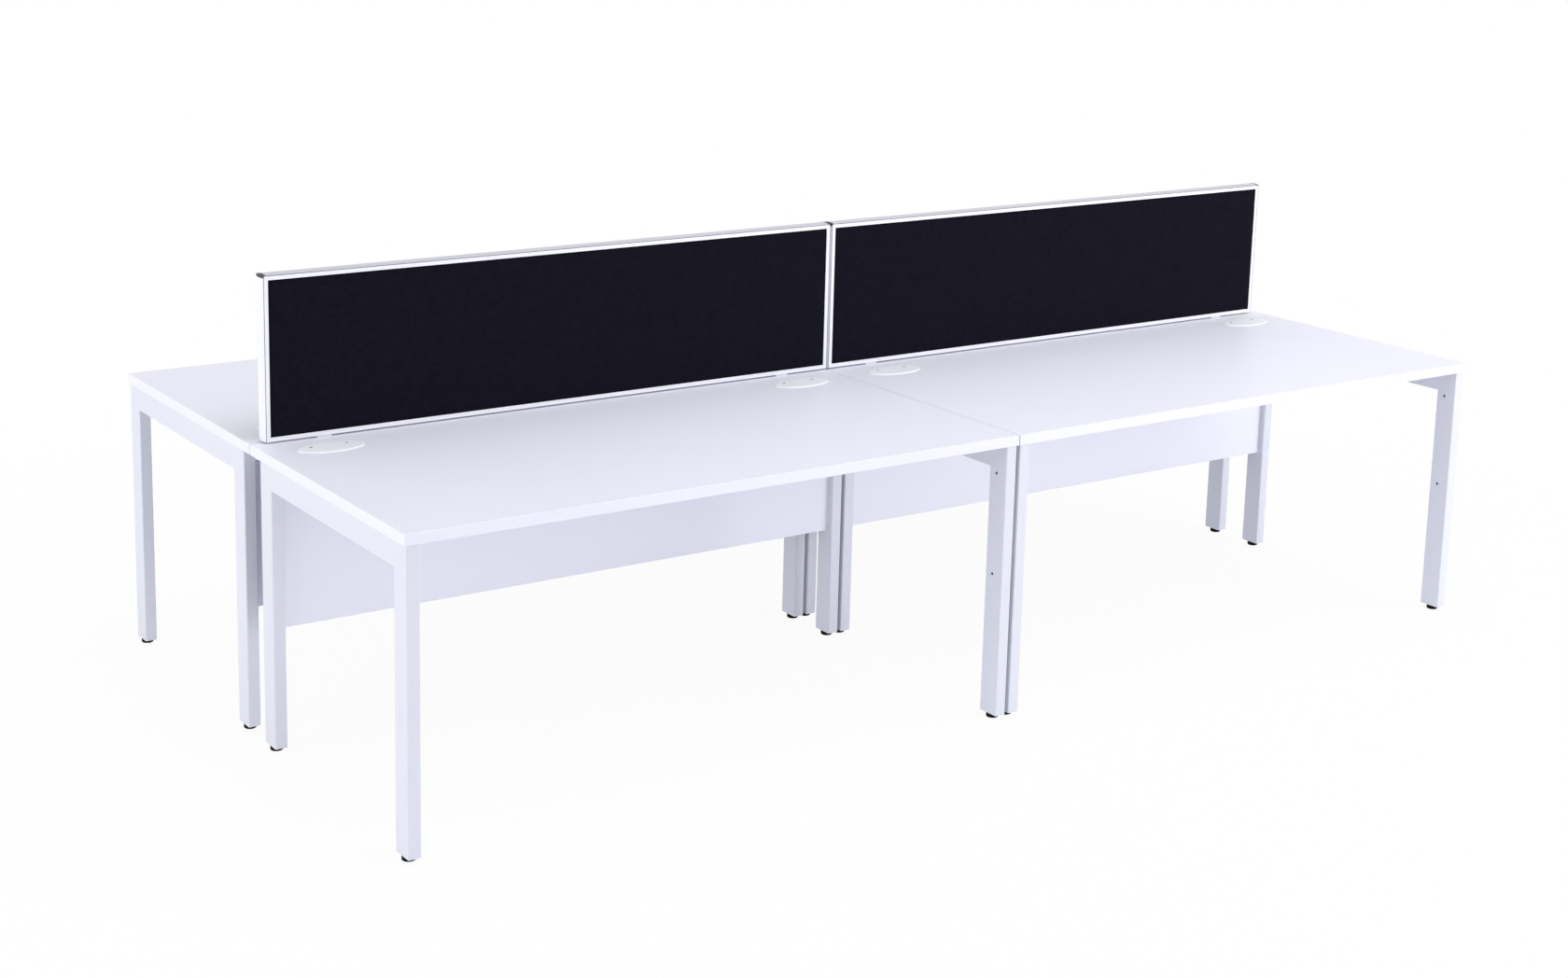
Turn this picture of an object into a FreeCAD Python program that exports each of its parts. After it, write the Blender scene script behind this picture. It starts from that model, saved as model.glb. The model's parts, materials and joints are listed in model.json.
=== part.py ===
import FreeCAD, Part
import math
import os

# A cluster of four bench desks, two by two and back to back, with two fabric screens on the
# centre line. Millimetres, +Z up, the floor at z = 0. X runs along the cluster, the front row's
# users sit at -Y, and the origin is on the floor under the middle of the cluster.

# Desktop boards
top_width = 1600.0
top_depth = 800.0
top_thickness = 25.0
top_height = 710.0
top_corner_radius = 2.5
top_edge_radius = 1.5
side_seam = 0.5
row_gap = 4.0

# Leg frames: rectangular tube, mitred at the two upper corners
tube_face = 60.0
tube_side = 30.0
tube_wall = 2.0
tube_radius = 3.0
frame_side_inset = 5.0
frame_front_inset = 3.0
frame_rear_inset = 47.0
access_hole_diameter = 12.0
frame_screw_shares = (0.2, 0.8)

# Levelling feet and the threaded plugs that hold them
foot_height = 12.0
foot_travel = 20.0
foot_pad_diameter = 30.0
foot_pad_chamfer = 2.0
foot_stud_diameter = 8.0
foot_stud_engagement = 12.0
foot_stop_gap = 0.3
foot_thread_gap = 0.15
plug_length = 25.0

# Modesty panels and their cam fixings
panel_thickness = 18.0
panel_height = 350.0
panel_top_drop = 40.0
panel_setback = 16.0
panel_edge_radius = 1.0
fixing_drop = 32.0
fixing_pitch = 250.0
dowel_diameter = 7.0
dowel_tail = 8.0
dowel_tip_gap = 1.0
cam_diameter = 15.0
cam_depth = 12.5
cam_setback = 34.0

# Oval cable ports: a liner in the board and a lift-out cover
port_length = 160.0
port_width = 80.0
port_side_inset = 150.0
port_rear_inset = 113.0
port_flange_thickness = 2.5
port_flange_lip = 4.0
port_flange_chamfer = 1.2
port_liner_depth = 22.0
port_liner_wall = 1.5
port_ledge = 3.0
cover_thickness = 2.5
cover_side_gap = 0.3
cover_seat_gap = 0.2
finger_hole_diameter = 8.0
finger_hole_pitch = 87.0
finger_hole_setback = 15.0

# Pan-head screws for the leg frames and the screen brackets
screw_diameter = 5.0
screw_length = 20.0
screw_head_diameter = 9.0
screw_head_height = 3.0

# Fabric screens in extruded frames
screen_thickness = 42.0
screen_gap = 0.6
screen_end_inset = 30.0
screen_lift = 4.0
fabric_height = 364.0
rail_strip = 10.0
rail_dome = 3.2
rail_lip = 2.0
rail_web = 3.0
rail_groove = 1.0
board_end_gap = 0.5
cap_leg = 5.0

# Screen brackets
bracket_width = 36.0
bracket_plate_depth = 38.0
bracket_blade_thickness = 3.0
bracket_flange_depth = 34.0
bracket_flange_thickness = 3.0
bracket_end_inset = 145.0
bracket_screw_pitch = 18.0
bracket_screw_share = 0.65

# Pieces that repeat many times are many-sided, not round, to keep the model light
fastener_sides = 12
foot_pad_sides = 24
cap_facets = 12

# Every cut runs this far past the faces that it opens, and levels this close count as the same
overrun = 5.0
level_tolerance = 0.1

# Levels and places worked out from the sizes above
underside = top_height - top_thickness
plug_top = foot_height + plug_length
panel_top = underside - panel_top_drop
panel_bottom = panel_top - panel_height
fixing_levels = (panel_top - fixing_drop, panel_top - fixing_drop - fixing_pitch)
frame_back = top_depth - frame_rear_inset
frame_depth = frame_back - frame_front_inset
frame_inner_x = top_width / 2 - frame_side_inset - tube_side
panel_centre_y = frame_back - tube_face + panel_setback + panel_thickness / 2
port_centre_x = top_width / 2 - port_side_inset
port_centre_y = top_depth - port_rear_inset
screen_bottom = top_height + screen_lift
strip_top = screen_bottom + rail_strip + fabric_height + rail_strip
screen_length = top_width + (side_seam - screen_gap) / 2 - screen_end_inset
strip_length = screen_length - 2 * rail_dome
screen_centre_x = (screen_gap + screen_length) / 2
board_thickness = screen_thickness - 2 * rail_lip

V = FreeCAD.Vector
DESKS = {
    "front_left": (-1, -1),
    "front_right": (1, -1),
    "rear_left": (-1, 1),
    "rear_right": (1, 1),
}
SCREENS = {"left": -1, "right": 1}


def box(x0, x1, y0, y1, z0, z1):
    """A block between two corners."""
    return Part.makeBox(x1 - x0, y1 - y0, z1 - z0, V(x0, y0, z0))


def rod(diameter, start, end):
    """A round bar from one point to another."""
    path = end - start
    return Part.makeCylinder(diameter / 2, path.Length, start, path)


def prism(points, direction):
    """A straight solid on a flat outline with straight sides."""
    return Part.Face(Part.makePolygon(points + [points[0]])).extrude(direction)


def corners(sides, diameter, centre, axis):
    """The corners of a regular outline round an axis."""
    turn = FreeCAD.Rotation(V(0, 0, 1), axis)
    points = []
    for step in range(sides):
        angle = 2 * math.pi * step / sides
        points.append(centre + turn.multVec(V(math.cos(angle), math.sin(angle), 0) * (diameter / 2)))
    return points


def stick(diameter, start, end):
    """A many-sided bar from one point to another, for a fastener or its hole."""
    return prism(corners(fastener_sides, diameter, start, end - start), end - start)


def rounded_bar(sides, radius, along, length):
    """A bar of rectangular section, centred on its axis, with its long edges rounded.

    sides holds the section's extents in the two axes other than `along`, in X, Y, Z order.
    """
    extents = list(sides)
    extents.insert("XYZ".index(along), length)
    bar = Part.makeBox(*extents)
    if radius:
        axis = V(*(1.0 if along == name else 0.0 for name in "XYZ"))
        bar = bar.makeFillet(radius, [edge for edge in bar.Edges
                                      if edge.tangentAt(edge.FirstParameter).cross(axis).Length < 0.5])
    middle = [0 if name == along else -extent / 2 for name, extent in zip("XYZ", extents)]
    bar.translate(V(*middle))
    return bar


def oval(length, width, z0, z1):
    """An upright elliptical column on the Z axis."""
    edge = Part.Ellipse(V(), length / 2, width / 2).toShape()
    face = Part.Face(Part.Wire(edge))
    face.translate(V(0, 0, z0))
    return face.extrude(V(0, 0, z1 - z0))


def at_desk(shape, desk):
    """Place a desk's piece: X from the desk's middle, Y from its user's edge to the rear."""
    side, row = DESKS[desk]
    placed = shape.copy()
    placed.translate(V(0, -top_depth - row_gap / 2, 0))
    if row > 0:
        placed.rotate(V(), V(0, 0, 1), 180)
    placed.translate(V(side * (top_width + side_seam) / 2, 0, 0))
    return placed


def turned(shape):
    """The same piece at the other end of its desk, turned half a turn about the vertical."""
    copy = shape.copy()
    copy.rotate(V(0, frame_front_inset + frame_depth / 2, 0), V(0, 0, 1), 180)
    return copy


def save(node, solids):
    shape = solids[0] if len(solids) == 1 else Part.makeCompound(solids)
    shape.exportStep("parts/" + node + ".step")


# Desktops

def screw_places():
    """Where the leg frames' screws enter the board, in the desk's own X and Y."""
    x = top_width / 2 - frame_side_inset - tube_side / 2
    depths = [frame_front_inset + share * frame_depth for share in frame_screw_shares]
    return [V(side * x, y, 0) for side in (-1, 1) for y in depths]


def bracket_places():
    """Middle of each screen bracket in X, and the row whose board its flange is screwed under."""
    reach = screen_length / 2 - bracket_end_inset
    places = []
    for side in SCREENS.values():
        for end in (-1, 1):
            places.append((side * screen_centre_x + end * reach, end * side))
    return places


def bracket_screw_places():
    """Where the brackets' flange screws enter the boards, in the cluster's X and Y."""
    y = bracket_flange_depth * bracket_screw_share
    places = []
    for x, row in bracket_places():
        for step in (-1, 1):
            places.append(V(x + step * bracket_screw_pitch / 2, row * y, 0))
    return places


def desktop(desk):
    board = box(-top_width / 2, top_width / 2, 0, top_depth, underside, top_height)
    upright = [edge for edge in board.Edges if abs(edge.tangentAt(edge.FirstParameter).z) > 0.5]
    board = board.makeFillet(top_corner_radius, upright)
    rims = []
    for face in board.Faces:
        if abs(face.normalAt(0, 0).z) > 0.5:
            rims.extend(face.Edges)
    board = board.makeFillet(min(top_edge_radius, top_thickness / 3), rims)
    cuts = []
    for side in (-1, 1):
        hole = oval(port_length - 2 * port_flange_lip, port_width - 2 * port_flange_lip,
                    underside - overrun, top_height + overrun)
        hole.translate(V(side * port_centre_x, port_centre_y, 0))
        cuts.append(hole)
    return at_desk(board.cut(cuts), desk)


# Leg frames

def mitred_tube(along, length, start, outline):
    """One member of a leg frame: a tube cut to its mitred outline in the Y-Z plane."""
    sides = (tube_side, tube_face)
    outer = rounded_bar(sides, tube_radius, along, length)
    inner = rounded_bar([side - 2 * tube_wall for side in sides], 0, along, length)
    tube = outer.cut(inner)
    tube.translate(start)
    points = [V(-tube_side, y, z) for y, z in outline]
    return tube.common(prism(points, V(2 * tube_side, 0, 0)))


def leg_frame():
    """The frame at a desk's left end, with its panel holes on the knee side."""
    y0, y1 = 0.0, frame_depth
    z0, z1 = foot_height, underside
    corner_z = z1 - tube_face
    front = mitred_tube("Z", z1 - z0, V(0, tube_face / 2, z0),
                        [(y0, z0), (y0 + tube_face, z0), (y0 + tube_face, corner_z), (y0, z1)])
    back = mitred_tube("Z", z1 - z0, V(0, y1 - tube_face / 2, z0),
                       [(y1, z0), (y1 - tube_face, z0), (y1 - tube_face, corner_z), (y1, z1)])
    beam = mitred_tube("Y", y1 - y0, V(0, y0, z1 - tube_face / 2),
                       [(y0, z1), (y0 + tube_face, corner_z), (y1 - tube_face, corner_z), (y1, z1)])
    frame = front.fuse([beam, back]).removeSplitter()
    cuts = []
    hole_y = tube_face - panel_setback - panel_thickness / 2
    for y in (hole_y, frame_depth - hole_y):
        for z in fixing_levels:
            cuts.append(rod(dowel_diameter, V(0, y, z), V(tube_side, y, z)))
    for share in frame_screw_shares:
        y = share * frame_depth
        middle = V(0, y, z1 - tube_face / 2)
        cuts.append(stick(access_hole_diameter, V(0, y, corner_z - overrun), middle))
        cuts.append(stick(screw_diameter, middle, V(0, y, z1 + overrun)))
    frame = frame.cut(cuts)
    frame.translate(V(-top_width / 2 + frame_side_inset + tube_side / 2, frame_front_inset, 0))
    return frame


def post_places():
    """The four posts' axes of one desk: left front, left rear, right front, right rear."""
    x = top_width / 2 - frame_side_inset - tube_side / 2
    ys = (frame_front_inset + tube_face / 2, frame_back - tube_face / 2)
    return [V(side * x, y, 0) for side in (-1, 1) for y in ys]


def tube_plug():
    """The threaded plug driven into a post's lower end, flush with the tube."""
    sides = (tube_side - 2 * tube_wall, tube_face - 2 * tube_wall)
    plug = rounded_bar(sides, 0, "Z", plug_length)
    plug.translate(V(0, 0, foot_height))
    bore = stick(foot_stud_diameter + 2 * foot_thread_gap,
                 V(0, 0, foot_height - overrun), V(0, 0, plug_top + overrun))
    return plug.cut(bore)


def levelling_foot():
    """A moulded pad with its threaded stud, screwed fully in."""
    up = V(0, 0, 1)
    shoulder = up * (foot_height - foot_stop_gap)
    rim = up * foot_pad_chamfer
    sole = corners(foot_pad_sides, foot_pad_diameter - 2 * foot_pad_chamfer, V(), up)
    edge = corners(foot_pad_sides, foot_pad_diameter, rim, up)
    base = Part.makeLoft([Part.makePolygon(ring + [ring[0]]) for ring in (sole, edge)], True, True)
    pad = prism(edge, shoulder - rim)
    stud = stick(foot_stud_diameter, shoulder, up * (foot_height + foot_travel + foot_stud_engagement))
    return base.fuse([pad, stud]).removeSplitter()


# Modesty panels

def dowel_run(side, z):
    """A fixing's axis: the panel's end face, and the way into the panel."""
    return V(side * frame_inner_x, panel_centre_y, z), V(-side, 0, 0)


def fixings():
    return [dowel_run(side, z) for side in (-1, 1) for z in fixing_levels]


def dowel_tip(end, inward):
    """The dowel's inner end, just short of the cam's pocket."""
    return end + inward * (cam_setback - cam_diameter / 2 - dowel_tip_gap)


def cam_body(end, inward):
    """The round cam housing, set into the panel's rear face."""
    middle = end + inward * cam_setback
    back = panel_thickness / 2
    return stick(cam_diameter, middle + V(0, back - cam_depth, 0), middle + V(0, back, 0))


def dowels():
    """A desk's steel dowels, each from inside a post to its cam."""
    pieces = []
    for end, inward in fixings():
        tail = end - inward * (tube_wall + dowel_tail)
        pieces.append(stick(dowel_diameter, tail, dowel_tip(end, inward)))
    return pieces


def modesty_panel():
    panel = box(-frame_inner_x, frame_inner_x, panel_centre_y - panel_thickness / 2,
                panel_centre_y + panel_thickness / 2, panel_bottom, panel_top)
    long_edges = [edge for edge in panel.Edges if abs(edge.tangentAt(edge.FirstParameter).x) > 0.5]
    panel = panel.makeFillet(panel_edge_radius, long_edges)
    cuts = []
    for end, inward in fixings():
        cuts.append(stick(dowel_diameter, end - inward * overrun, dowel_tip(end, inward)))
        cuts.append(cam_body(end, inward))
    return panel.cut(cuts)


def cam_locks():
    return [cam_body(end, inward) for end, inward in fixings()]


# Cable ports

def at_ports(solid):
    """Copies of a piece at a desk's two ports, left then right."""
    copies = []
    for side in (-1, 1):
        copy = solid.copy()
        copy.translate(V(side * port_centre_x, port_centre_y, 0))
        copies.append(copy)
    return copies


def port_liner():
    """A flanged oval ring with a ledge inside for the cover."""
    flange_top = top_height + port_flange_thickness
    barrel = (port_length - 2 * port_flange_lip, port_width - 2 * port_flange_lip)
    recess = [side - 2 * port_liner_wall for side in barrel]
    bore = [side - 2 * port_ledge for side in recess]
    ledge_top = flange_top - cover_thickness - cover_seat_gap
    flange = oval(port_length, port_width, top_height, flange_top)
    rim = [edge for edge in flange.Edges if edge.BoundBox.ZMin > flange_top - level_tolerance]
    flange = flange.makeChamfer(min(port_flange_chamfer, port_flange_thickness / 2), rim)
    liner = flange.fuse(oval(*barrel, top_height - port_liner_depth, top_height))
    liner = liner.cut([oval(*recess, ledge_top, flange_top + overrun),
                       oval(*bore, top_height - port_liner_depth - overrun, flange_top)])
    return liner.removeSplitter()


def port_cover():
    """The lift-out plate, level with the liner's rim, with two finger holes."""
    flange_top = top_height + port_flange_thickness
    length = port_length - 2 * (port_flange_lip + port_liner_wall + cover_side_gap)
    width = port_width - 2 * (port_flange_lip + port_liner_wall + cover_side_gap)
    plate = oval(length, width, flange_top - cover_thickness, flange_top)
    holes = []
    for side in (-1, 1):
        place = V(side * finger_hole_pitch / 2, finger_hole_setback, 0)
        holes.append(rod(finger_hole_diameter, place + V(0, 0, top_height - overrun),
                         place + V(0, 0, flange_top + overrun)))
    return plate.cut(holes)


# Screws

def pan_screw(place, seat):
    """A pan-head screw driven upwards, its head against the face at `seat`."""
    seat_point = place + V(0, 0, seat)
    head = stick(screw_head_diameter, seat_point - V(0, 0, screw_head_height), seat_point)
    shank = stick(screw_diameter, seat_point, seat_point + V(0, 0, screw_length))
    return head.fuse(shank)


def all_screws():
    solids = []
    for desk in DESKS:
        for place in screw_places():
            solids.append(at_desk(pan_screw(place, underside - tube_wall), desk))
    for place in bracket_screw_places():
        solids.append(pan_screw(place, underside - bracket_flange_thickness))
    return solids


# Screens

def rail_section(domed):
    """The extruded rail's section: across the screen, and outwards from the strip's outer line."""
    half = screen_thickness / 2
    inner = board_thickness / 2
    groove = rail_groove if domed else 0.0
    edges = [
        (half, -groove / 2),
        (half, -rail_strip),
        (inner, -rail_strip),
        (inner, -rail_web),
        (-inner, -rail_web),
        (-inner, -rail_strip),
        (-half, -rail_strip),
        (-half, -groove / 2),
    ]
    if domed:
        edges.append((groove - half, 0.0))
        edges.append((half - groove, 0.0))
    return edges


def dome_face(facets):
    """The domed outer part of the rail's section, in X (across) and Y (outwards).

    The dome is a true arc, or that many straight facets on it.
    """
    half = screen_thickness / 2
    low = rail_groove / 2
    arc = Part.Arc(V(half, low, 0), V(0, rail_dome, 0), V(-half, low, 0)).toShape()
    foot = [V(-half, low, 0), V(rail_groove - half, 0, 0), V(half - rail_groove, 0, 0), V(half, low, 0)]
    dome = Part.makePolygon(arc.discretize(facets + 1)).Edges if facets else [arc]
    return Part.Face(Part.Wire(dome + Part.makePolygon(foot).Edges))


def along_edge(shape, origin, outward, run):
    """Place a section's solid: X across the screen, Y outwards, Z along the run of the rail."""
    across = outward.cross(run)
    placed = shape.copy()
    placed.Placement = FreeCAD.Placement(origin, FreeCAD.Rotation(across, outward, run, "ZXY"))
    return placed


def strip_rail(domed, origin, outward, run, length):
    """A mitred rail: the channel's strips, cut at 45 degrees at both ends."""
    points = [V(across, out, 0) for across, out in rail_section(domed)]
    bar = along_edge(prism(points, V(0, 0, length)), origin, outward, run)
    side = outward.cross(run)
    mitre = [
        origin,
        origin + run * length,
        origin + run * (length - rail_strip) - outward * rail_strip,
        origin + run * rail_strip - outward * rail_strip,
    ]
    wedge = prism([point - side * screen_thickness for point in mitre], side * (2 * screen_thickness))
    return bar.common(wedge)


def dome_bar(origin, outward, run, start, end, facets=0):
    """A stretch of the rail's domed outer part."""
    bar = dome_face(facets).extrude(V(0, 0, end - start))
    return along_edge(bar, origin + run * start, outward, run)


def screen_corners(side):
    """A screen's strip outline: left and right X, bottom and top Z."""
    middle = side * screen_centre_x
    return middle - strip_length / 2, middle + strip_length / 2, screen_bottom, strip_top


def top_rail(side):
    x0, x1, z0, z1 = screen_corners(side)
    strip = strip_rail(True, V(x0, 0, z1), V(0, 0, 1), V(1, 0, 0), x1 - x0)
    dome = dome_bar(V(x0, 0, z1), V(0, 0, 1), V(1, 0, 0), cap_leg, x1 - x0 - cap_leg)
    return strip.fuse(dome).removeSplitter()


def bottom_rail(side):
    x0, x1, z0, z1 = screen_corners(side)
    return strip_rail(False, V(x1, 0, z0), V(0, 0, -1), V(-1, 0, 0), x1 - x0)


def end_rail(side, end):
    x0, x1, z0, z1 = screen_corners(side)
    if end < 0:
        corner, outward, run = V(x0, 0, z0), V(-1, 0, 0), V(0, 0, 1)
    else:
        corner, outward, run = V(x1, 0, z0), V(1, 0, 0), V(0, 0, 1)
    strip = strip_rail(True, corner, outward, run, z1 - z0)
    dome = dome_bar(corner, outward, run, 0, z1 - z0 - cap_leg)
    return strip.fuse(dome).removeSplitter()


def corner_cap(side, end):
    """The moulded cap that closes the domed covers at one upper corner."""
    x0, x1, z0, z1 = screen_corners(side)
    corner = V(x0 if end < 0 else x1, 0, z1)
    over = V(0, 0, 1)
    out = V(end, 0, 0)
    flat = dome_bar(corner, over, out * -1, -rail_dome, cap_leg, cap_facets)
    upright = dome_bar(corner, out, over * -1, -rail_dome, cap_leg, cap_facets)
    top_leg = dome_bar(corner, over, out * -1, 0, cap_leg, cap_facets)
    end_leg = dome_bar(corner, out, over * -1, 0, cap_leg, cap_facets)
    return flat.common(upright).fuse([top_leg, end_leg]).removeSplitter()


def screen_board(side):
    """The fabric-wrapped board, held in the frame's channels."""
    x0, x1, z0, z1 = screen_corners(side)
    inset = rail_web + board_end_gap
    half = board_thickness / 2
    return box(x0 + inset, x1 - inset, -half, half, z0 + inset, z1 - inset)


def screen_bracket(x, row):
    """A welded bracket: plate on the boards, blade in the gap, flange under one board."""
    half = bracket_width / 2
    blade = bracket_blade_thickness / 2
    low = underside - bracket_flange_thickness
    plate = box(-half, half, -bracket_plate_depth / 2, bracket_plate_depth / 2, top_height, screen_bottom)
    web = box(-half, half, -blade, blade, low, top_height)
    flange = box(-half, half, -blade, bracket_flange_depth, low, underside)
    bracket = plate.fuse([web, flange]).removeSplitter()
    if row < 0:
        bracket.rotate(V(), V(0, 0, 1), 180)
    bracket.translate(V(x, 0, 0))
    return bracket.cut([pan_screw(place, low) for place in bracket_screw_places()])


def main():
    os.makedirs("parts", exist_ok=True)
    left_frame = leg_frame()
    right_frame = turned(left_frame)
    liners = at_ports(port_liner())
    covers = at_ports(port_cover())
    foot = levelling_foot()
    plug = tube_plug()
    plugs, pins, cams = [], [], []
    for desk in DESKS:
        save("desktop_" + desk, [desktop(desk)])
        save("leg_frame_" + desk + "_a", [at_desk(left_frame, desk)])
        save("leg_frame_" + desk + "_b", [at_desk(right_frame, desk)])
        save("modesty_panel_" + desk, [at_desk(modesty_panel(), desk)])
        save("port_liners_" + desk, [at_desk(liner, desk) for liner in liners])
        for letter, cover in zip("ab", covers):
            save("port_cover_" + desk + "_" + letter, [at_desk(cover, desk)])
        for number, place in enumerate(post_places(), 1):
            placed_foot = foot.copy()
            placed_foot.translate(place)
            save("foot_" + desk + "_" + str(number), [at_desk(placed_foot, desk)])
            placed_plug = plug.copy()
            placed_plug.translate(place)
            plugs.append(at_desk(placed_plug, desk))
        pins.extend(at_desk(piece, desk) for piece in dowels())
        cams.extend(at_desk(piece, desk) for piece in cam_locks())
    save("tube_plugs", plugs)
    save("cam_dowels", pins)
    save("cam_locks", cams)
    save("screws", all_screws())
    caps = []
    for name, side in SCREENS.items():
        save("screen_top_rail_" + name, [top_rail(side)])
        save("screen_bottom_rail_" + name, [bottom_rail(side)])
        save("screen_end_rail_" + name + "_a", [end_rail(side, -1)])
        save("screen_end_rail_" + name + "_b", [end_rail(side, 1)])
        save("screen_board_" + name, [screen_board(side)])
        caps.extend(corner_cap(side, end) for end in (-1, 1))
    save("screen_corner_caps", caps)
    save("screen_brackets", [screen_bracket(x, row) for x, row in bracket_places()])


main()
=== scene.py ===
import json
import math
from collections import namedtuple
from functools import reduce

import bmesh
import bpy
from mathutils import Euler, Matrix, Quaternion, Vector


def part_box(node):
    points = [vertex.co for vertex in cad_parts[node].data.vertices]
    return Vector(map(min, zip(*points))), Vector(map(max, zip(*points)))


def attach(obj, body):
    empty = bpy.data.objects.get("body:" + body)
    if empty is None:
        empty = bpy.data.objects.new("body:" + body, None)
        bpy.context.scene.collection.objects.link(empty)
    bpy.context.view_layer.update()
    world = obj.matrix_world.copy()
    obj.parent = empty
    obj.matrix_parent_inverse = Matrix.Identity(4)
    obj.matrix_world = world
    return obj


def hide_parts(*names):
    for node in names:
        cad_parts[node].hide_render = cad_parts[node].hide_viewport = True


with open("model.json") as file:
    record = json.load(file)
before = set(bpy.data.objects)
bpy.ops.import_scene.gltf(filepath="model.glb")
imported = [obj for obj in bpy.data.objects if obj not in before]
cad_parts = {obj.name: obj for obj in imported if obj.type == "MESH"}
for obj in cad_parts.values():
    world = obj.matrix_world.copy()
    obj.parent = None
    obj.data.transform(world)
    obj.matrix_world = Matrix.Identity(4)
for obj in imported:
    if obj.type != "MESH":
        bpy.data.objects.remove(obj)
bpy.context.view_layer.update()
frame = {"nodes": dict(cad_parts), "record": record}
nodes = frame["nodes"]

# A noise that moves a value between low and high, and a noise that raises a fine bump
Noise = namedtuple("Noise", "scale detail low high")
Bump = namedtuple("Bump", "scale detail depth strength")

# Lengths are in metres, apart from the levelling foot's

# Camera, fitted to the photograph's 1680 x 1048 frame
IMAGE_WIDTH = 1680.0
FOCAL_PIXELS = 2516.9
CENTRE_RIGHT_PIXELS = -29.9
CENTRE_DOWN_PIXELS = -204.6
EYE = Vector((-3.5651, -4.8983, 2.1035))
HEADING = math.radians(34.345)
PITCH = math.radians(-11.290)
ROLL = math.radians(1.315)
SENSOR_MM = 36.0
CLIP_END = 200.0

# Lamps: name, place, target, diameter and power in watts
LAMPS = (
    ("key", (-7.5, -0.6, 1.6), (0.0, 0.0, 0.7), 4.0, 150.0),
    ("front", (5.0, -6.0, 1.2), (0.3, 0.0, 0.5), 4.5, 260.0),
    ("top", (0.8, -1.6, 6.0), (0.4, 0.0, 0.7), 5.0, 142.0),
    ("rear", (-4.5, 7.5, 2.2), (0.0, 0.0, 0.5), 4.0, 60.0),
)

# Surroundings: the world's light, and a floor that fades to white between two distances
SKY_COLOUR = (0.95, 0.96, 1.0, 1.0)
SKY_STRENGTH = 0.66
BACKDROP_WHITE = (1.0, 1.0, 1.0, 1.0)
FLOOR_WHITE = (0.90, 0.90, 0.92, 1.0)
FLOOR_TONE = Noise(scale=0.7, detail=3.0, low=0.99, high=1.01)
FLOOR_ROUGHNESS = 0.9
FLOOR_REACH = 40.0
FLOOR_FADE_START = 1.2
FLOOR_FADE_END = 3.4
FLOOR_NEAR_WHITENESS = 0.93

# Boards: the facing, the desktops' glued edge band, and painted shade along the seam between two
# desktops
BOARD_WHITE = (0.83, 0.83, 0.915, 1.0)
BOARD_TONE = Noise(scale=2.3, detail=4.0, low=0.985, high=1.012)
BOARD_PEARL = Bump(scale=900.0, detail=2.0, depth=0.00005, strength=0.35)
PANEL_ROUGHNESS = Noise(scale=14.0, detail=5.0, low=0.40, high=0.52)
DESKTOP_ROUGHNESS = Noise(scale=14.0, detail=5.0, low=0.40, high=0.50)
DESKTOP_SPECULAR = 0.2
BAND_THICKNESS = 0.002
BAND_POLISH = 0.08
GLUE_HALF_WIDTH = 0.0003
GLUE_DARKENING = 3.0
SEAM_PAINTED_SHADE = (0.40, 0.40, 0.45, 1.0)
SEAM_HALF_WIDTH = 0.0011

# Powder coat
COAT_TONE = Noise(scale=5.0, detail=4.0, low=0.985, high=1.01)
COAT_ROUGHNESS = Noise(scale=30.0, detail=3.0, low=0.34, high=0.46)

# Leg frames: the coat, the welds on the mitres, and painted shade inside the tubes that the holes
# show
STEEL_WHITE = (0.715, 0.73, 0.80, 1.0)
FRAME_PEEL = Bump(scale=520.0, detail=1.0, depth=0.00006, strength=0.4)
TUBE_FACE = 0.060
WELD_HALF_WIDTH = 0.003
WELD_HEIGHT = 0.0003
WELD_STRENGTH = 0.6
WELD_RIPPLE = Noise(scale=700.0, detail=2.0, low=0.4, high=1.0)
TUBE_PAINTED_SHADE = (0.030, 0.030, 0.034, 1.0)
PAINTED_SHADE_INSET = 0.0003
CORNER_CLEAR = 0.006

# Screen rails: the coat, the domed cover's height, painted shade on the top rails' domes, and painted
# shade in the groove beside them
RAIL_WHITE = (0.85, 0.85, 0.90, 1.0)
RAIL_PEEL = Bump(scale=700.0, detail=1.0, depth=0.00006, strength=0.4)
RAIL_DOME = 0.0032
DOME_PAINTED_SHADE = (0.52, 0.52, 0.58, 1.0)
GROOVE_PAINTED_SHADE = (0.06, 0.06, 0.075, 1.0)
GROOVE_HALF_WIDTH = 0.0011

# Plastics: colour, lowest and highest roughness, and specular level
PLASTICS = {
    "white_plastic": ((0.90, 0.90, 0.955, 1.0), 0.45, 0.58, 0.15),
    "black_plastic": ((0.006, 0.006, 0.007, 1.0), 0.50, 0.70, 0.08),
    "charcoal_plastic": ((0.055, 0.055, 0.062, 1.0), 0.45, 0.62, 0.3),
}
PLASTIC_TONE = Noise(scale=60.0, detail=4.0, low=0.96, high=1.03)
PLASTIC_SHEEN_SCALE = 250.0
PLASTIC_SHEEN_DETAIL = 3.0
PLASTIC_GRAIN = Bump(scale=1600.0, detail=2.0, depth=0.00004, strength=0.5)

# Port covers' finger holes, with painted shade down their walls
HOLE_PAINTED_SHADE = (0.20, 0.20, 0.23, 1.0)
FINGER_HOLE_PITCH = 0.087
FINGER_HOLE_SETBACK = 0.015
FINGER_HOLE_REACH = 0.0043
FINGER_HOLE_LIP = 0.0003

# Zinc plating
ZINC = (0.62, 0.62, 0.60, 1.0)
ZINC_TONE = Noise(scale=160.0, detail=4.0, low=0.82, high=1.05)
ZINC_ROUGHNESS = Noise(scale=420.0, detail=3.0, low=0.28, high=0.46)
ZINC_SCRATCHES = Bump(scale=2200.0, detail=2.0, depth=0.00002, strength=0.5)

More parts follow.
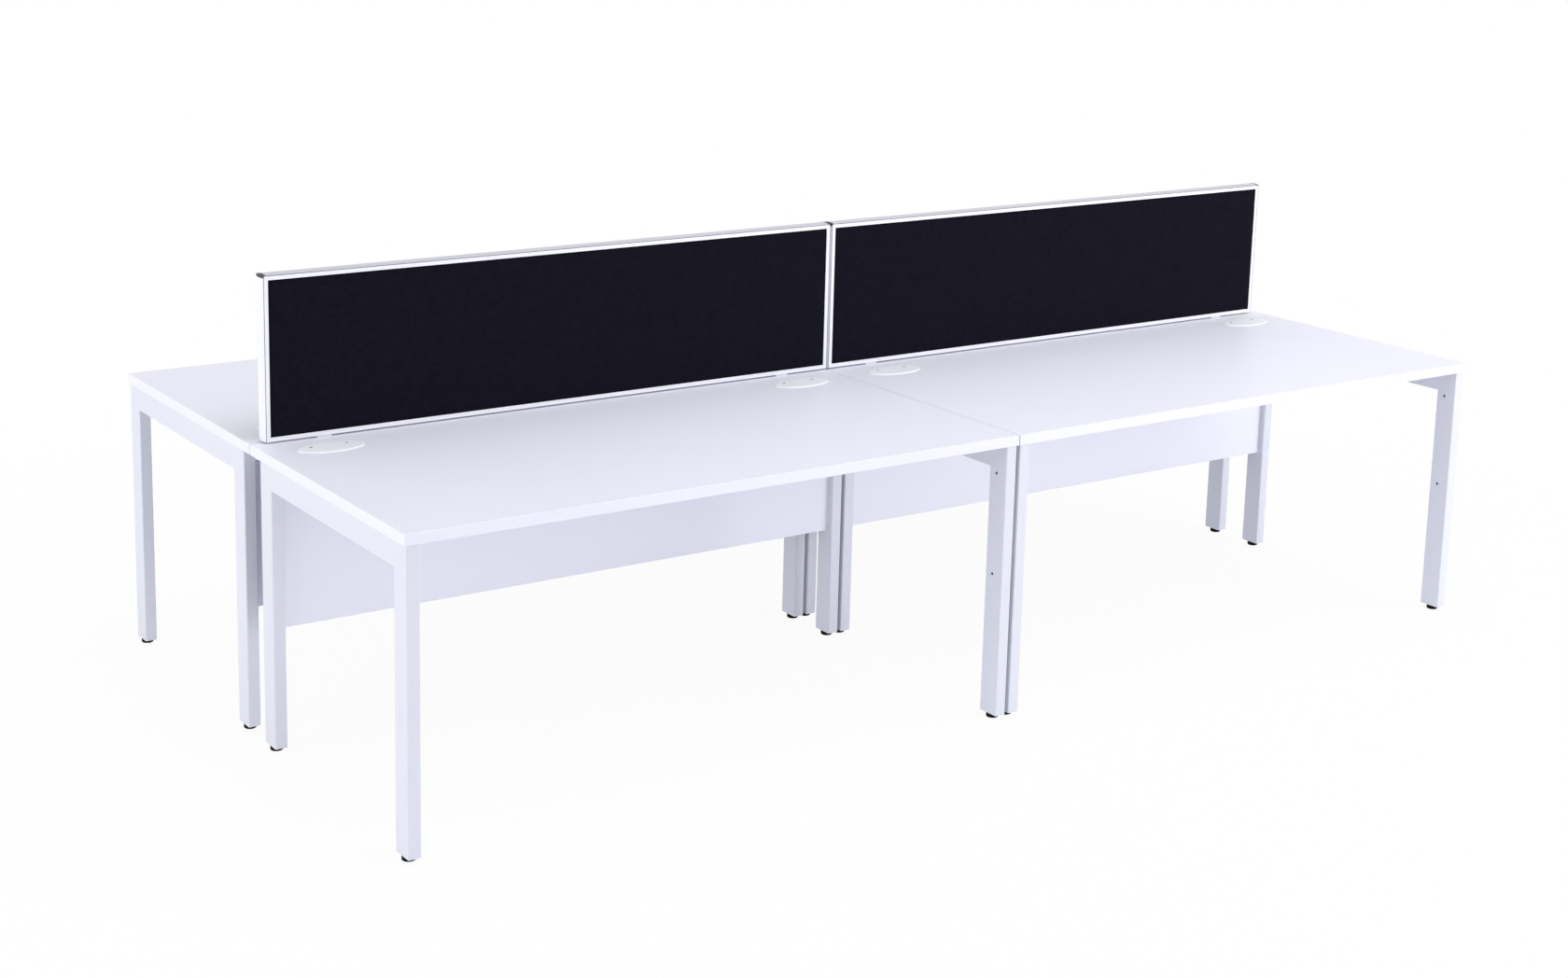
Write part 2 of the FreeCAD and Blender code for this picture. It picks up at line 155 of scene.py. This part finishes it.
# Screens' cloth: colour, weave and flecks
FABRIC_BLACK = (0.0056, 0.0054, 0.0105, 1.0)
FABRIC_TONES = (0.25, 2.6)
FABRIC_SHEEN = (0.35, 0.34, 0.50, 1.0)
FABRIC_SHEEN_WEIGHT = 0.02
FABRIC_SHEEN_ROUGHNESS = 0.5
FABRIC_SPECULAR = 0.04
FABRIC_ROUGHNESS = (0.82, 0.98)
WEAVE_SCALE = 150.0
WEAVE_DISTORTION = 0.4
WEAVE_MIDDLE = 0.5
WEAVE_CONTRAST = 2.0
WEAVE_TONES = (0.25, 1.0)
WEAVE_DEPTH = 0.0003
WEAVE_STRENGTH = 0.8
FLECK = Noise(scale=420.0, detail=2.0, low=0.2, high=1.2)
FLECK_STRETCH = (1.0, 1.0, 2.2)
BLOTCH = Noise(scale=70.0, detail=5.0, low=0.5, high=1.3)

# Screens' cloth: shape
FABRIC_CROWN = 0.0006
FABRIC_CROWN_POWER = 4
FABRIC_EDGE_ROUND = 0.0025
FABRIC_COLUMNS = 96
FABRIC_ROWS = 28

# Levelling foot, in millimetres: the pad's profile as (radius, height), its flutes, and the thread
PAD_PROFILE = [
    (0.0, 0.0), (12.2, 0.0), (13.1, 0.25), (14.3, 1.1), (14.9, 2.2),
    (15.0, 3.0), (15.0, 8.2), (14.8, 9.0), (14.2, 9.7), (13.2, 10.0),
    (8.2, 10.2), (7.4, 10.5), (7.0, 11.2), (6.6, 11.7), (0.0, 11.7),
]
PAD_STEPS = 96
PAD_FLUTES = 24
PAD_FLUTE_DEPTH = 0.45
FLUTES_BOTTOM = 2.5
FLUTES_TOP = 8.5
STUD_TOP = 44.0
STUD_RADIUS = 4.0
THREAD_START = 10.4
THREAD_PITCH = 1.25
THREAD_DEPTH = 0.62
THREAD_STEPS = 32
MILLIMETRES = 1000.0


def shade(value, colour):
    """A colour made lighter or darker by a factor."""
    return tuple(channel * value for channel in colour[:3]) + (1.0,)


def mid(low, high, axis):
    """The middle of a box along one axis."""
    return (low[axis] + high[axis]) / 2


def new_object(name, data):
    """A new object in the scene."""
    piece = bpy.data.objects.new(name, data)
    bpy.context.scene.collection.objects.link(piece)
    return piece


# Materials

class Paint:
    """A material's node tree, with short calls for the nodes that the finishes use."""

    def __init__(self, name):
        self.material = bpy.data.materials.new(name)
        self.material.use_nodes = True
        self.tree = self.material.node_tree
        self.shader = self.tree.nodes["Principled BSDF"]
        self.place = self.add("ShaderNodeTexCoord").outputs["Object"]

    def add(self, kind, **settings):
        """A new node with some of its settings."""
        node = self.tree.nodes.new(kind)
        for name, value in settings.items():
            setattr(node, name, value)
        return node

    def join(self, source, target):
        """A link from one socket to another."""
        self.tree.links.new(source, target)

    def set(self, **values):
        """Constant values on the shader's own sockets, with spaces written as underscores."""
        for name, value in values.items():
            self.shader.inputs[name.replace("_", " ")].default_value = value

    def stretched(self, scale):
        """Object coordinates, scaled along each axis."""
        mapping = self.add("ShaderNodeMapping")
        mapping.inputs["Scale"].default_value = scale
        self.join(self.place, mapping.inputs["Vector"])
        return mapping.outputs["Vector"]

    def axes(self):
        """The object coordinates' X, Y and Z."""
        node = self.add("ShaderNodeSeparateXYZ")
        self.join(self.place, node.inputs[0])
        return node.outputs

    def noise(self, scale, detail, where=None):
        """A noise over the object, or over other coordinates."""
        texture = self.add("ShaderNodeTexNoise")
        texture.inputs["Scale"].default_value = scale
        texture.inputs["Detail"].default_value = detail
        self.join(where or self.place, texture.inputs["Vector"])
        return texture.outputs["Fac"]

    def wave(self, direction, scale, distortion):
        """Bands across one axis."""
        texture = self.add("ShaderNodeTexWave", bands_direction=direction)
        texture.inputs["Scale"].default_value = scale
        texture.inputs["Distortion"].default_value = distortion
        self.join(self.place, texture.inputs["Vector"])
        return texture.outputs["Fac"]

    def maths(self, operation, *values):
        """The result of a Math node, whose values are numbers or other nodes' outputs."""
        node = self.add("ShaderNodeMath", operation=operation)
        for socket, value in zip(node.inputs, values):
            if isinstance(value, (int, float)):
                socket.default_value = value
            else:
                self.join(value, socket)
        return node.outputs["Value"]

    def fold(self, operation, values):
        """One value out of several, taken together two at a time."""
        return reduce(lambda first, second: self.maths(operation, first, second), values)

    def remap(self, value, start, end, low, high, interpolation="LINEAR"):
        """A value that runs from low to high as the given one runs from start to end."""
        node = self.add("ShaderNodeMapRange", interpolation_type=interpolation)
        node.inputs["From Min"].default_value = start
        node.inputs["From Max"].default_value = end
        node.inputs["To Min"].default_value = low
        node.inputs["To Max"].default_value = high
        self.join(value, node.inputs["Value"])
        return node.outputs["Result"]

    def between(self, factor, low, high):
        """A value that runs from low to high as the factor runs from 0 to 1."""
        return self.remap(factor, 0.0, 1.0, low, high)

    def band(self, value, middle, half_width):
        """1 in the middle of a band of values, falling softly to 0 at the band's two sides."""
        distance = self.maths("ABSOLUTE", self.maths("SUBTRACT", value, middle))
        return self.remap(distance, half_width, 0.0, 0.0, 1.0, "SMOOTHSTEP")

    def near(self, value, places, reach):
        """1 where the value lies within reach of one of the places, and 0 elsewhere."""
        return self.fold("MAXIMUM", [self.maths("COMPARE", value, place, reach) for place in places])

    def mix(self, factor):
        """A mix of two colours: its two colour inputs and its result."""
        node = self.add("ShaderNodeMix", data_type="RGBA")
        self.join(factor, node.inputs["Factor"])
        first, second = [socket for socket in node.inputs if socket.type == "RGBA"]
        result = next(socket for socket in node.outputs if socket.type == "RGBA")
        return first, second, result

    def colours(self, factor, colour, low, high):
        """Base colour from low to high times a colour, as the factor runs from 0 to 1."""
        first, second, result = self.mix(factor)
        first.default_value = shade(low, colour)
        second.default_value = shade(high, colour)
        self.join(result, self.shader.inputs["Base Color"])

    def over(self, mask, colour):
        """One more colour laid over the base colour where the mask is 1."""
        base = self.shader.inputs["Base Color"]
        first, second, result = self.mix(mask)
        second.default_value = colour
        self.join(base.links[0].from_socket, first)
        self.join(result, base)

    def rough(self, socket):
        """Roughness from another node's output."""
        self.join(socket, self.shader.inputs["Roughness"])

    def bump(self, height, depth, strength):
        """A bump on top of those that are there already."""
        node = self.add("ShaderNodeBump")
        node.inputs["Distance"].default_value = depth
        node.inputs["Strength"].default_value = strength
        self.join(height, node.inputs["Height"])
        normal = self.shader.inputs["Normal"]
        if normal.is_linked:
            self.join(normal.links[0].from_socket, node.inputs["Normal"])
        self.join(node.outputs["Normal"], normal)

    def varied(self, noise):
        """A noise's value between its low and its high."""
        return self.between(self.noise(noise.scale, noise.detail), noise.low, noise.high)

    def tone(self, noise, colour):
        """Base colour that varies with a noise."""
        self.colours(self.noise(noise.scale, noise.detail), colour, noise.low, noise.high)

    def grain(self, bump):
        """A fine bump from a noise."""
        self.bump(self.noise(bump.scale, bump.detail), bump.depth, bump.strength)


def faced_board():
    """The modesty panels' melamine-faced board: a fine pearl texture and a hint of cloudiness."""
    paint = Paint("white_board")
    paint.tone(BOARD_TONE, BOARD_WHITE)
    paint.rough(paint.varied(PANEL_ROUGHNESS))
    paint.grain(BOARD_PEARL)
    return paint.material


def banded_board(node):
    """A desktop's faced board: an edge band glued on all round, and painted shade along the seam to
    the next.
    """
    low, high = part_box(node)
    paint = Paint(node + "_board")
    paint.set(Specular_IOR_Level=DESKTOP_SPECULAR)
    x, y, _ = paint.axes()
    inset = paint.fold("MINIMUM", [
        paint.maths("SUBTRACT", x, low[0]),
        paint.maths("SUBTRACT", high[0], x),
        paint.maths("SUBTRACT", high[1], y),
        paint.maths("SUBTRACT", y, low[1]),
    ])
    glue = paint.maths("MULTIPLY", paint.band(inset, BAND_THICKNESS, GLUE_HALF_WIDTH), GLUE_DARKENING)
    cloud = paint.maths("SUBTRACT", paint.noise(BOARD_TONE.scale, BOARD_TONE.detail), glue)
    paint.colours(cloud, BOARD_WHITE, BOARD_TONE.low, BOARD_TONE.high)
    # Painted shade along the seam where this desktop meets the next one
    seam = min(low[0], high[0], key=abs)
    paint.over(paint.band(x, seam, SEAM_HALF_WIDTH), SEAM_PAINTED_SHADE)
    edge_band = paint.maths("LESS_THAN", inset, BAND_THICKNESS)
    polish = paint.maths("MULTIPLY", edge_band, BAND_POLISH)
    paint.rough(paint.maths("SUBTRACT", paint.varied(DESKTOP_ROUGHNESS), polish))
    paint.grain(BOARD_PEARL)
    return paint.material


def powder_coat(name, colour, peel):
    """Powder coat: a soft orange-peel skin with slight changes of gloss."""
    paint = Paint(name)
    paint.tone(COAT_TONE, colour)
    paint.rough(paint.varied(COAT_ROUGHNESS))
    paint.grain(peel)
    return paint


def welded_frame():
    """The leg frames' powder coat: faint welds along the mitres, and painted shade inside the posts.
    """
    paint = powder_coat("white_steel", STEEL_WHITE, FRAME_PEEL)
    low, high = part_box("leg_frame_rear_right_a")
    outer_low, outer_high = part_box("leg_frame_rear_right_b")
    x, y, z = paint.axes()
    width = paint.maths("ABSOLUTE", x)
    depth = paint.maths("ABSOLUTE", y)

    # Painted shade inside the tubes, where holes in the posts show it
    frame_middles = [mid(low, high, 0), mid(outer_low, outer_high, 0)]
    inside = paint.near(width, frame_middles, (high[0] - low[0]) / 2 - PAINTED_SHADE_INSET)
    post_middles = [low[1] + TUBE_FACE / 2, high[1] - TUBE_FACE / 2]
    posts = paint.near(depth, post_middles, TUBE_FACE / 2 - CORNER_CLEAR)
    paint.over(paint.maths("MULTIPLY", inside, posts), TUBE_PAINTED_SHADE)

    outer_mitre = paint.band(paint.maths("SUBTRACT", depth, z), high[1] - high[2], WELD_HALF_WIDTH)
    inner_mitre = paint.band(paint.maths("ADD", depth, z), low[1] + high[2], WELD_HALF_WIDTH)
    corner = paint.maths("GREATER_THAN", z, high[2] - TUBE_FACE)
    weld = paint.maths("MULTIPLY", paint.maths("MAXIMUM", outer_mitre, inner_mitre), corner)
    rippled = paint.maths("MULTIPLY", weld, paint.varied(WELD_RIPPLE))
    paint.bump(rippled, WELD_HEIGHT, WELD_STRENGTH)
    return paint.material


def moulded_plastic(name, kind):
    """Moulded plastic: a fine spark-eroded grain."""
    colour, smoothest, roughest, specular = PLASTICS[kind]
    paint = Paint(name)
    paint.set(Specular_IOR_Level=specular)
    paint.tone(PLASTIC_TONE, colour)
    sheen = paint.noise(PLASTIC_SHEEN_SCALE, PLASTIC_SHEEN_DETAIL)
    paint.rough(paint.between(sheen, smoothest, roughest))
    paint.grain(PLASTIC_GRAIN)
    return paint


def holed_cover():
    """The port covers' plastic, with painted shade down the walls of the finger holes."""
    paint = moulded_plastic("white_cover", "white_plastic")
    low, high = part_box("port_cover_rear_right_a")
    outer_low, outer_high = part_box("port_cover_rear_right_b")
    x, y, z = paint.axes()
    holes = [
        middle + side * FINGER_HOLE_PITCH / 2
        for middle in (mid(low, high, 0), mid(outer_low, outer_high, 0))
        for side in (-1, 1)
    ]
    across = paint.near(paint.maths("ABSOLUTE", x), holes, FINGER_HOLE_REACH)
    row = mid(low, high, 1) - FINGER_HOLE_SETBACK
    along = paint.near(paint.maths("ABSOLUTE", y), [row], FINGER_HOLE_REACH)
    wall = paint.near(z, [mid(low, high, 2)], (high[2] - low[2]) / 2 - FINGER_HOLE_LIP)
    # Painted shade down the walls of the finger holes
    paint.over(paint.fold("MULTIPLY", [across, along, wall]), HOLE_PAINTED_SHADE)
    return paint.material


def zinc_plate():
    """Bright zinc plating with fine scratches and a cloudy film."""
    paint = Paint("zinc_steel")
    paint.set(Metallic=1.0)
    paint.tone(ZINC_TONE, ZINC)
    paint.rough(paint.varied(ZINC_ROUGHNESS))
    paint.grain(ZINC_SCRATCHES)
    return paint.material


def woven_cloth():
    """Black upholstery cloth: a fine plain weave with flecked yarns."""
    paint = Paint("black_fabric")
    paint.set(
        Sheen_Weight=FABRIC_SHEEN_WEIGHT, Sheen_Roughness=FABRIC_SHEEN_ROUGHNESS,
        Sheen_Tint=FABRIC_SHEEN, Specular_IOR_Level=FABRIC_SPECULAR,
    )
    warp = paint.maths("SUBTRACT", paint.wave("X", WEAVE_SCALE, WEAVE_DISTORTION), WEAVE_MIDDLE)
    weft = paint.maths("SUBTRACT", paint.wave("Z", WEAVE_SCALE, WEAVE_DISTORTION), WEAVE_MIDDLE)
    crossing = paint.maths("MULTIPLY", warp, weft)
    weave = paint.maths("MULTIPLY_ADD", crossing, WEAVE_CONTRAST, WEAVE_MIDDLE)
    fleck = paint.noise(FLECK.scale, FLECK.detail, paint.stretched(FLECK_STRETCH))
    tone = paint.fold("MULTIPLY", [
        paint.between(weave, *WEAVE_TONES),
        paint.between(fleck, FLECK.low, FLECK.high),
        paint.varied(BLOTCH),
    ])
    paint.colours(tone, FABRIC_BLACK, *FABRIC_TONES)
    paint.rough(paint.between(fleck, *FABRIC_ROUGHNESS))
    paint.bump(paint.maths("ADD", weave, fleck), WEAVE_DEPTH, WEAVE_STRENGTH)
    return paint.material


def grooved_rail(node):
    """A screen rail's powder coat, with painted shade on a top rail's dome and in the groove beside
    the domed cover.
    """
    paint = powder_coat(node + "_coat", RAIL_WHITE, RAIL_PEEL)
    low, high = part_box(node)
    x, _, z = paint.axes()
    if "top_rail" in node:
        line, groove = z, high[2] - RAIL_DOME
        # Painted shade on the top rail's dome, which faces up
        paint.over(paint.maths("GREATER_THAN", z, groove), DOME_PAINTED_SHADE)
    elif node.endswith("_a"):
        line, groove = x, low[0] + RAIL_DOME
    else:
        line, groove = x, high[0] - RAIL_DOME
    # Painted shade in the groove beside the dome
    paint.over(paint.band(line, groove, GROOVE_HALF_WIDTH), GROOVE_PAINTED_SHADE)
    return paint.material


FINISHES = {
    "white_board": faced_board(),
    "white_steel": welded_frame(),
    "white_aluminium": powder_coat("white_aluminium", RAIL_WHITE, RAIL_PEEL).material,
    "white_cover": holed_cover(),
    "black_fabric": woven_cloth(),
    "zinc_steel": zinc_plate(),
}
for plastic in PLASTICS:
    FINISHES[plastic] = moulded_plastic(plastic, plastic).material


def dress_cad_nodes():
    """Give each CAD node its slot's finish, or the one made for desktops, covers and rails."""
    for subpart in frame["record"]["subparts"]:
        name = subpart["node"]
        finish = FINISHES[subpart["material_slot"]]
        if name.startswith("desktop_"):
            finish = banded_board(name)
        if name.startswith("port_cover_"):
            finish = FINISHES["white_cover"]
        if name.startswith(("screen_top_rail_", "screen_end_rail_")):
            finish = grooved_rail(name)
        nodes[name].data.materials.clear()
        nodes[name].data.materials.append(finish)


def finished_mesh(name, shape, finish, smooth):
    """A mesh from a bmesh, smooth-shaded or flat-shaded, with its finish on it."""
    mesh = bpy.data.meshes.new(name)
    bmesh.ops.recalc_face_normals(shape, faces=shape.faces)
    shape.to_mesh(mesh)
    shape.free()
    if smooth:
        mesh.shade_smooth()
    mesh.materials.append(finish)
    return mesh


# Screens' fabric

def fabric_grid(shape, low, high, side):
    """Rows of points over one side of a screen's board: crowned, and drawn back at the rim."""
    middle = (Vector(low) + Vector(high)) / 2
    half = (Vector(high) - Vector(low)) / 2
    grid = []
    for row in range(FABRIC_ROWS + 1):
        across = 2.0 * row / FABRIC_ROWS - 1.0
        line = []
        for column in range(FABRIC_COLUMNS + 1):
            along = 2.0 * column / FABRIC_COLUMNS - 1.0
            fall = (1.0 - along ** FABRIC_CROWN_POWER) * (1.0 - across ** FABRIC_CROWN_POWER)
            crown = FABRIC_CROWN * fall
            rim = FABRIC_EDGE_ROUND if max(abs(along), abs(across)) == 1.0 else 0.0
            line.append(shape.verts.new((
                middle.x + along * half.x,
                middle.y + side * (half.y - rim + crown),
                middle.z + across * half.z,
            )))
        grid.append(line)
    return grid


def outline(grid):
    """The points round a grid's edge, in one closed loop."""
    right = [line[-1] for line in grid[1:-1]]
    left = [line[0] for line in grid[1:-1]]
    return grid[0] + right + grid[-1][::-1] + left[::-1]


def fabric_face(node):
    """The stretched cloth over a screen's board: soft at its edges and a little crowned."""
    low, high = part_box(node)
    shape = bmesh.new()
    front = fabric_grid(shape, low, high, -1.0)
    back = fabric_grid(shape, low, high, 1.0)
    for grid in (front, back):
        for lower, upper in zip(grid, grid[1:]):
            for column in range(FABRIC_COLUMNS):
                after = column + 1
                corners = (lower[column], lower[after], upper[after], upper[column])
                shape.faces.new(corners if grid is front else corners[::-1])
    front_rim, back_rim = outline(front), outline(back)
    for step in range(len(front_rim)):
        shape.faces.new((front_rim[step], front_rim[step - 1], back_rim[step - 1], back_rim[step]))
    mesh = finished_mesh(node + "_cloth", shape, FINISHES["black_fabric"], True)
    piece = new_object(node + "_cloth", mesh)
    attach(piece, "cluster")
    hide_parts(node)


# Levelling feet

def around(radius, height, turn):
    """A point at a radius and height, in millimetres, and a share of a full turn."""
    angle = 2 * math.pi * turn
    return Vector((radius * math.cos(angle), radius * math.sin(angle), height)) / MILLIMETRES


def fluted(radius, height, turn):
    """The pad's radius at a height and turn, less the depth of a finger-grip flute there."""
    if FLUTES_BOTTOM < height < FLUTES_TOP:
        return radius - PAD_FLUTE_DEPTH * (0.5 - 0.5 * math.cos(2 * math.pi * PAD_FLUTES * turn))
    return radius


def foot_pad_mesh():
    """The moulded pad: its profile turned about Z, with a rim of shallow flutes."""
    shape = bmesh.new()
    rings = []
    for radius, height in PAD_PROFILE:
        if radius == 0.0:
            rings.append([shape.verts.new(around(radius, height, 0.0))] * PAD_STEPS)
            continue
        turns = [step / PAD_STEPS for step in range(PAD_STEPS)]
        points = [around(fluted(radius, height, turn), height, turn) for turn in turns]
        rings.append([shape.verts.new(point) for point in points])
    for lower, upper in zip(rings, rings[1:]):
        for step in range(PAD_STEPS):
            before = step - 1
            corners = (lower[before], lower[step], upper[step], upper[before])
            shape.faces.new(list(dict.fromkeys(corners)))
    return finished_mesh("foot_pad", shape, FINISHES["black_plastic"], True)


def foot_stud_mesh():
    """The stud: one closed screw, with a single thread that climbs from root to crest to root."""
    shape = bmesh.new()
    core = STUD_RADIUS - THREAD_DEPTH
    turns = int((STUD_TOP - THREAD_START) / THREAD_PITCH) - 1
    last = turns * THREAD_STEPS
    roots, crests = [], []
    for step in range(last + THREAD_STEPS + 1):
        turn = step / THREAD_STEPS
        height = THREAD_START + turn * THREAD_PITCH
        roots.append(shape.verts.new(around(core, height, turn)))
        if step <= last:
            depth = THREAD_DEPTH * min(1.0, turns - turn)
            crests.append(shape.verts.new(around(core + depth, height + THREAD_PITCH / 2, turn)))
    for step in range(last):
        after = step + THREAD_STEPS
        shape.faces.new((roots[step], roots[step + 1], crests[step + 1], crests[step]))
        shape.faces.new((crests[step], crests[step + 1], roots[after + 1], roots[after]))
    for first in (0, last):
        rim = roots[first:first + THREAD_STEPS + 1] + [crests[first]]
        height = THREAD_START + (first / THREAD_STEPS + 0.5) * THREAD_PITCH
        centre = shape.verts.new(around(0.0, height, 0.0))
        for here, beside in zip(rim, rim[1:] + rim[:1]):
            shape.faces.new((here, beside, centre))
    return finished_mesh("foot_stud", shape, FINISHES["zinc_steel"], False)


def feet():
    """A detailed pad and stud in place of each levelling foot's plain solid."""
    pad_mesh, stud_mesh = foot_pad_mesh(), foot_stud_mesh()
    for node in sorted(nodes):
        if not node.startswith("foot_"):
            continue
        low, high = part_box(node)
        centre = (mid(low, high, 0), mid(low, high, 1), low[2])
        kinds = (("_pad", pad_mesh, "black_plastic"), ("_stud", stud_mesh, "zinc_steel"))
        for suffix, mesh, finish in kinds:
            piece = new_object(node + suffix, mesh)
            piece.location = centre
            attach(piece, node)
            if suffix == "_pad":
                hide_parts(node)


# Stage, light and camera

def seen_rays(tree):
    """1 for rays from the camera, straight, mirrored or through glass, and 0 for other rays."""
    rays = tree.nodes.new("ShaderNodeLightPath")
    seen = rays.outputs["Is Camera Ray"]
    for kind in ("Is Glossy Ray", "Is Transmission Ray"):
        either = tree.nodes.new("ShaderNodeMath")
        either.operation = "MAXIMUM"
        tree.links.new(seen, either.inputs[0])
        tree.links.new(rays.outputs[kind], either.inputs[1])
        seen = either.outputs["Value"]
    return seen


def mix_shaders(tree, share, first, second, output):
    """Show a share of the second shader over the first."""
    mix = tree.nodes.new("ShaderNodeMixShader")
    for source, socket in zip((share, first.outputs[0], second.outputs[0]), mix.inputs):
        tree.links.new(source, socket)
    tree.links.new(mix.outputs[0], tree.nodes[output].inputs["Surface"])


def floor():
    """A pale floor that lightens to full white away from the object, and keeps its shadow nearby."""
    mesh = bpy.data.meshes.new("floor")
    corners = [(-1, -1, 0), (1, -1, 0), (1, 1, 0), (-1, 1, 0)]
    mesh.from_pydata([Vector(corner) * FLOOR_REACH for corner in corners], [], [(0, 1, 2, 3)])
    piece = new_object("floor", mesh)
    paint = Paint("floor")
    paint.set(Roughness=FLOOR_ROUGHNESS, Specular_IOR_Level=0.0)
    paint.tone(FLOOR_TONE, FLOOR_WHITE)
    distance = paint.add("ShaderNodeVectorMath", operation="LENGTH")
    paint.join(paint.place, distance.inputs[0])
    fade = paint.remap(
        distance.outputs["Value"], FLOOR_FADE_START, FLOOR_FADE_END,
        FLOOR_NEAR_WHITENESS, 1.0, "SMOOTHSTEP",
    )
    share = paint.maths("MULTIPLY", seen_rays(paint.tree), fade)
    white = paint.add("ShaderNodeEmission")
    mix_shaders(paint.tree, share, paint.shader, white, "Material Output")
    piece.data.materials.append(paint.material)


def sky():
    """Even white surroundings: full white behind the object, and soft light from all round."""
    world = bpy.data.worlds.new("studio")
    bpy.context.scene.world = world
    world.use_nodes = True
    tree = world.node_tree
    light = tree.nodes["Background"]
    light.inputs["Color"].default_value = SKY_COLOUR
    light.inputs["Strength"].default_value = SKY_STRENGTH
    backdrop = tree.nodes.new("ShaderNodeBackground")
    backdrop.inputs["Color"].default_value = BACKDROP_WHITE
    mix_shaders(tree, seen_rays(tree), light, backdrop, "World Output")


def softbox(name, place, target, diameter, power):
    """A round area lamp that faces its target."""
    lamp = bpy.data.lights.new(name, "AREA")
    lamp.shape = "DISK"
    lamp.size = diameter
    lamp.energy = power
    piece = new_object(name, lamp)
    piece.location = place
    piece.rotation_euler = (Vector(target) - Vector(place)).to_track_quat("-Z", "Y").to_euler()


def camera():
    """The camera at the photograph's place, with its lens and framing."""
    lens = bpy.data.cameras.new("camera")
    lens.sensor_fit = "HORIZONTAL"
    lens.sensor_width = SENSOR_MM
    lens.lens = FOCAL_PIXELS / IMAGE_WIDTH * SENSOR_MM
    lens.shift_x = -CENTRE_RIGHT_PIXELS / IMAGE_WIDTH
    lens.shift_y = CENTRE_DOWN_PIXELS / IMAGE_WIDTH
    lens.clip_end = CLIP_END
    piece = new_object("camera", lens)
    piece.location = EYE
    level = Euler((math.pi / 2 + PITCH, 0.0, -HEADING)).to_quaternion()
    piece.rotation_euler = (level @ Quaternion((0.0, 0.0, 1.0), ROLL)).to_euler()
    bpy.context.scene.camera = piece


dress_cad_nodes()
for board in ("screen_board_left", "screen_board_right"):
    fabric_face(board)
feet()
floor()
sky()
for lamp_values in LAMPS:
    softbox(*lamp_values)
camera()
bpy.context.scene.view_settings.view_transform = "Standard"
